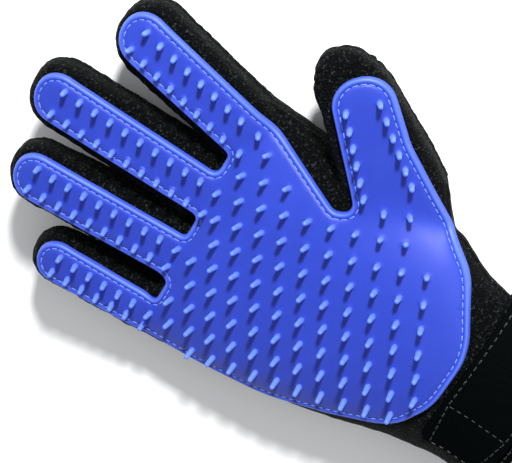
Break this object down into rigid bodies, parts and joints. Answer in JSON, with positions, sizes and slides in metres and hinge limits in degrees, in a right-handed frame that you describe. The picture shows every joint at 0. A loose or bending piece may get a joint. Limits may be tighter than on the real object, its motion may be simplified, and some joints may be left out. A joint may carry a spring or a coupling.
{
  "type": "pet grooming glove",
  "caption": "Right-hand glove of mesh fabric with a soft pinned silicone pad over the palm and fingers and a hook-and-loop wrist strap.",
  "frame": {"origin": "on the flat of the back of the hand, which the glove lies on, under the middle of the palm", "axes": "+Y towards the fingertips, +X towards the thumb, +Z out of the palm, the way the pins point"},
  "size_m": [0.1567, 0.2335, 0.0429],
  "materials": {
    "silicone_pad": "satin moulded silicone",
    "mesh_fabric": "looped knit mesh, matt",
    "strap_webbing": "woven webbing",
    "hook_and_loop": "hook-and-loop tape",
    "binding_tape": "folded binding tape"
  },
  "bodies": {
    "palm": {"palm_pad": "silicone_pad", "palm_front_panel": "mesh_fabric", "palm_back_panel": "mesh_fabric", "strap_anchor": "strap_webbing", "loop_patch": "hook_and_loop", "cuff_binding": "binding_tape"},
    "index_base": {"index_base_pad": "silicone_pad", "index_base_front_panel": "mesh_fabric", "index_base_back_panel": "mesh_fabric"},
    "index_tip": {"index_tip_pad": "silicone_pad", "index_tip_front_panel": "mesh_fabric", "index_tip_back_panel": "mesh_fabric"},
    "middle_base": {"middle_base_pad": "silicone_pad", "middle_base_front_panel": "mesh_fabric", "middle_base_back_panel": "mesh_fabric"},
    "middle_tip": {"middle_tip_pad": "silicone_pad", "middle_tip_front_panel": "mesh_fabric", "middle_tip_back_panel": "mesh_fabric"},
    "ring_base": {"ring_base_pad": "silicone_pad", "ring_base_front_panel": "mesh_fabric", "ring_base_back_panel": "mesh_fabric"},
    "ring_tip": {"ring_tip_pad": "silicone_pad", "ring_tip_front_panel": "mesh_fabric", "ring_tip_back_panel": "mesh_fabric"},
    "pinky_base": {"pinky_base_pad": "silicone_pad", "pinky_base_front_panel": "mesh_fabric", "pinky_base_back_panel": "mesh_fabric"},
    "pinky_tip": {"pinky_tip_pad": "silicone_pad", "pinky_tip_front_panel": "mesh_fabric", "pinky_tip_back_panel": "mesh_fabric"},
    "thumb_base": {"thumb_base_pad": "silicone_pad", "thumb_base_front_panel": "mesh_fabric", "thumb_base_back_panel": "mesh_fabric"},
    "thumb_tip": {"thumb_tip_pad": "silicone_pad", "thumb_tip_front_panel": "mesh_fabric", "thumb_tip_back_panel": "mesh_fabric"},
    "strap_flap": {"strap": "strap_webbing", "hook_patch": "hook_and_loop"}
  },
  "joints": [
    {"name": "index_knuckle", "type": "hinge", "parent": "palm", "child": "index_base", "pos_m": [0.03159, 0.06003, 0.02677], "axis": [0.9718, -0.2331, -0.0345], "range_deg": [0, 45], "stiffness_Nm_per_rad": 0.02},
    {"name": "index_middle_joint", "type": "hinge", "parent": "index_base", "child": "index_tip", "pos_m": [0.038, 0.08612, 0.03103], "axis": [0.9718, -0.2331, -0.0345], "range_deg": [0, 45], "stiffness_Nm_per_rad": 0.02},
    {"name": "middle_knuckle", "type": "hinge", "parent": "palm", "child": "middle_base", "pos_m": [0.00118, 0.06074, 0.02677], "axis": [0.9981, -0.061, 0], "range_deg": [0, 45], "stiffness_Nm_per_rad": 0.02},
    {"name": "middle_middle_joint", "type": "hinge", "parent": "middle_base", "child": "middle_tip", "pos_m": [0.00282, 0.08756, 0.03103], "axis": [0.9981, -0.061, 0], "range_deg": [0, 45], "stiffness_Nm_per_rad": 0.02},
    {"name": "ring_knuckle", "type": "hinge", "parent": "palm", "child": "ring_base", "pos_m": [-0.02898, 0.06244, 0.02627], "axis": [0.9994, -0.0002, 0.0345], "range_deg": [0, 45], "stiffness_Nm_per_rad": 0.02},
    {"name": "ring_middle_joint", "type": "hinge", "parent": "ring_base", "child": "ring_tip", "pos_m": [-0.02912, 0.0893, 0.03053], "axis": [0.9994, -0.0002, 0.0345], "range_deg": [0, 45], "stiffness_Nm_per_rad": 0.02},
    {"name": "pinky_knuckle", "type": "hinge", "parent": "palm", "child": "pinky_base", "pos_m": [-0.05981, 0.05905, 0.02426], "axis": [0.9956, -0.038, 0.0861], "range_deg": [0, 45], "stiffness_Nm_per_rad": 0.02},
    {"name": "pinky_middle_joint", "type": "hinge", "parent": "pinky_base", "child": "pinky_tip", "pos_m": [-0.05932, 0.07919, 0.02745], "axis": [0.9956, -0.038, 0.0861], "range_deg": [0, 45], "stiffness_Nm_per_rad": 0.02},
    {"name": "thumb_knuckle", "type": "hinge", "parent": "palm", "child": "thumb_base", "pos_m": [0.04273, -0.00325, 0.03038], "axis": [0.7398, -0.672, -0.034], "range_deg": [0, 45], "stiffness_Nm_per_rad": 0.02},
    {"name": "thumb_middle_joint", "type": "hinge", "parent": "thumb_base", "child": "thumb_tip", "pos_m": [0.0625, 0.01829, 0.03488], "axis": [0.7398, -0.672, -0.034], "range_deg": [0, 45], "stiffness_Nm_per_rad": 0.02},
    {"name": "strap_peel", "type": "hinge", "parent": "palm", "child": "strap_flap", "pos_m": [0.0389, -0.0733, 0.0165], "axis": [0, 1, 0], "range_deg": [0, 110]}
  ]
}
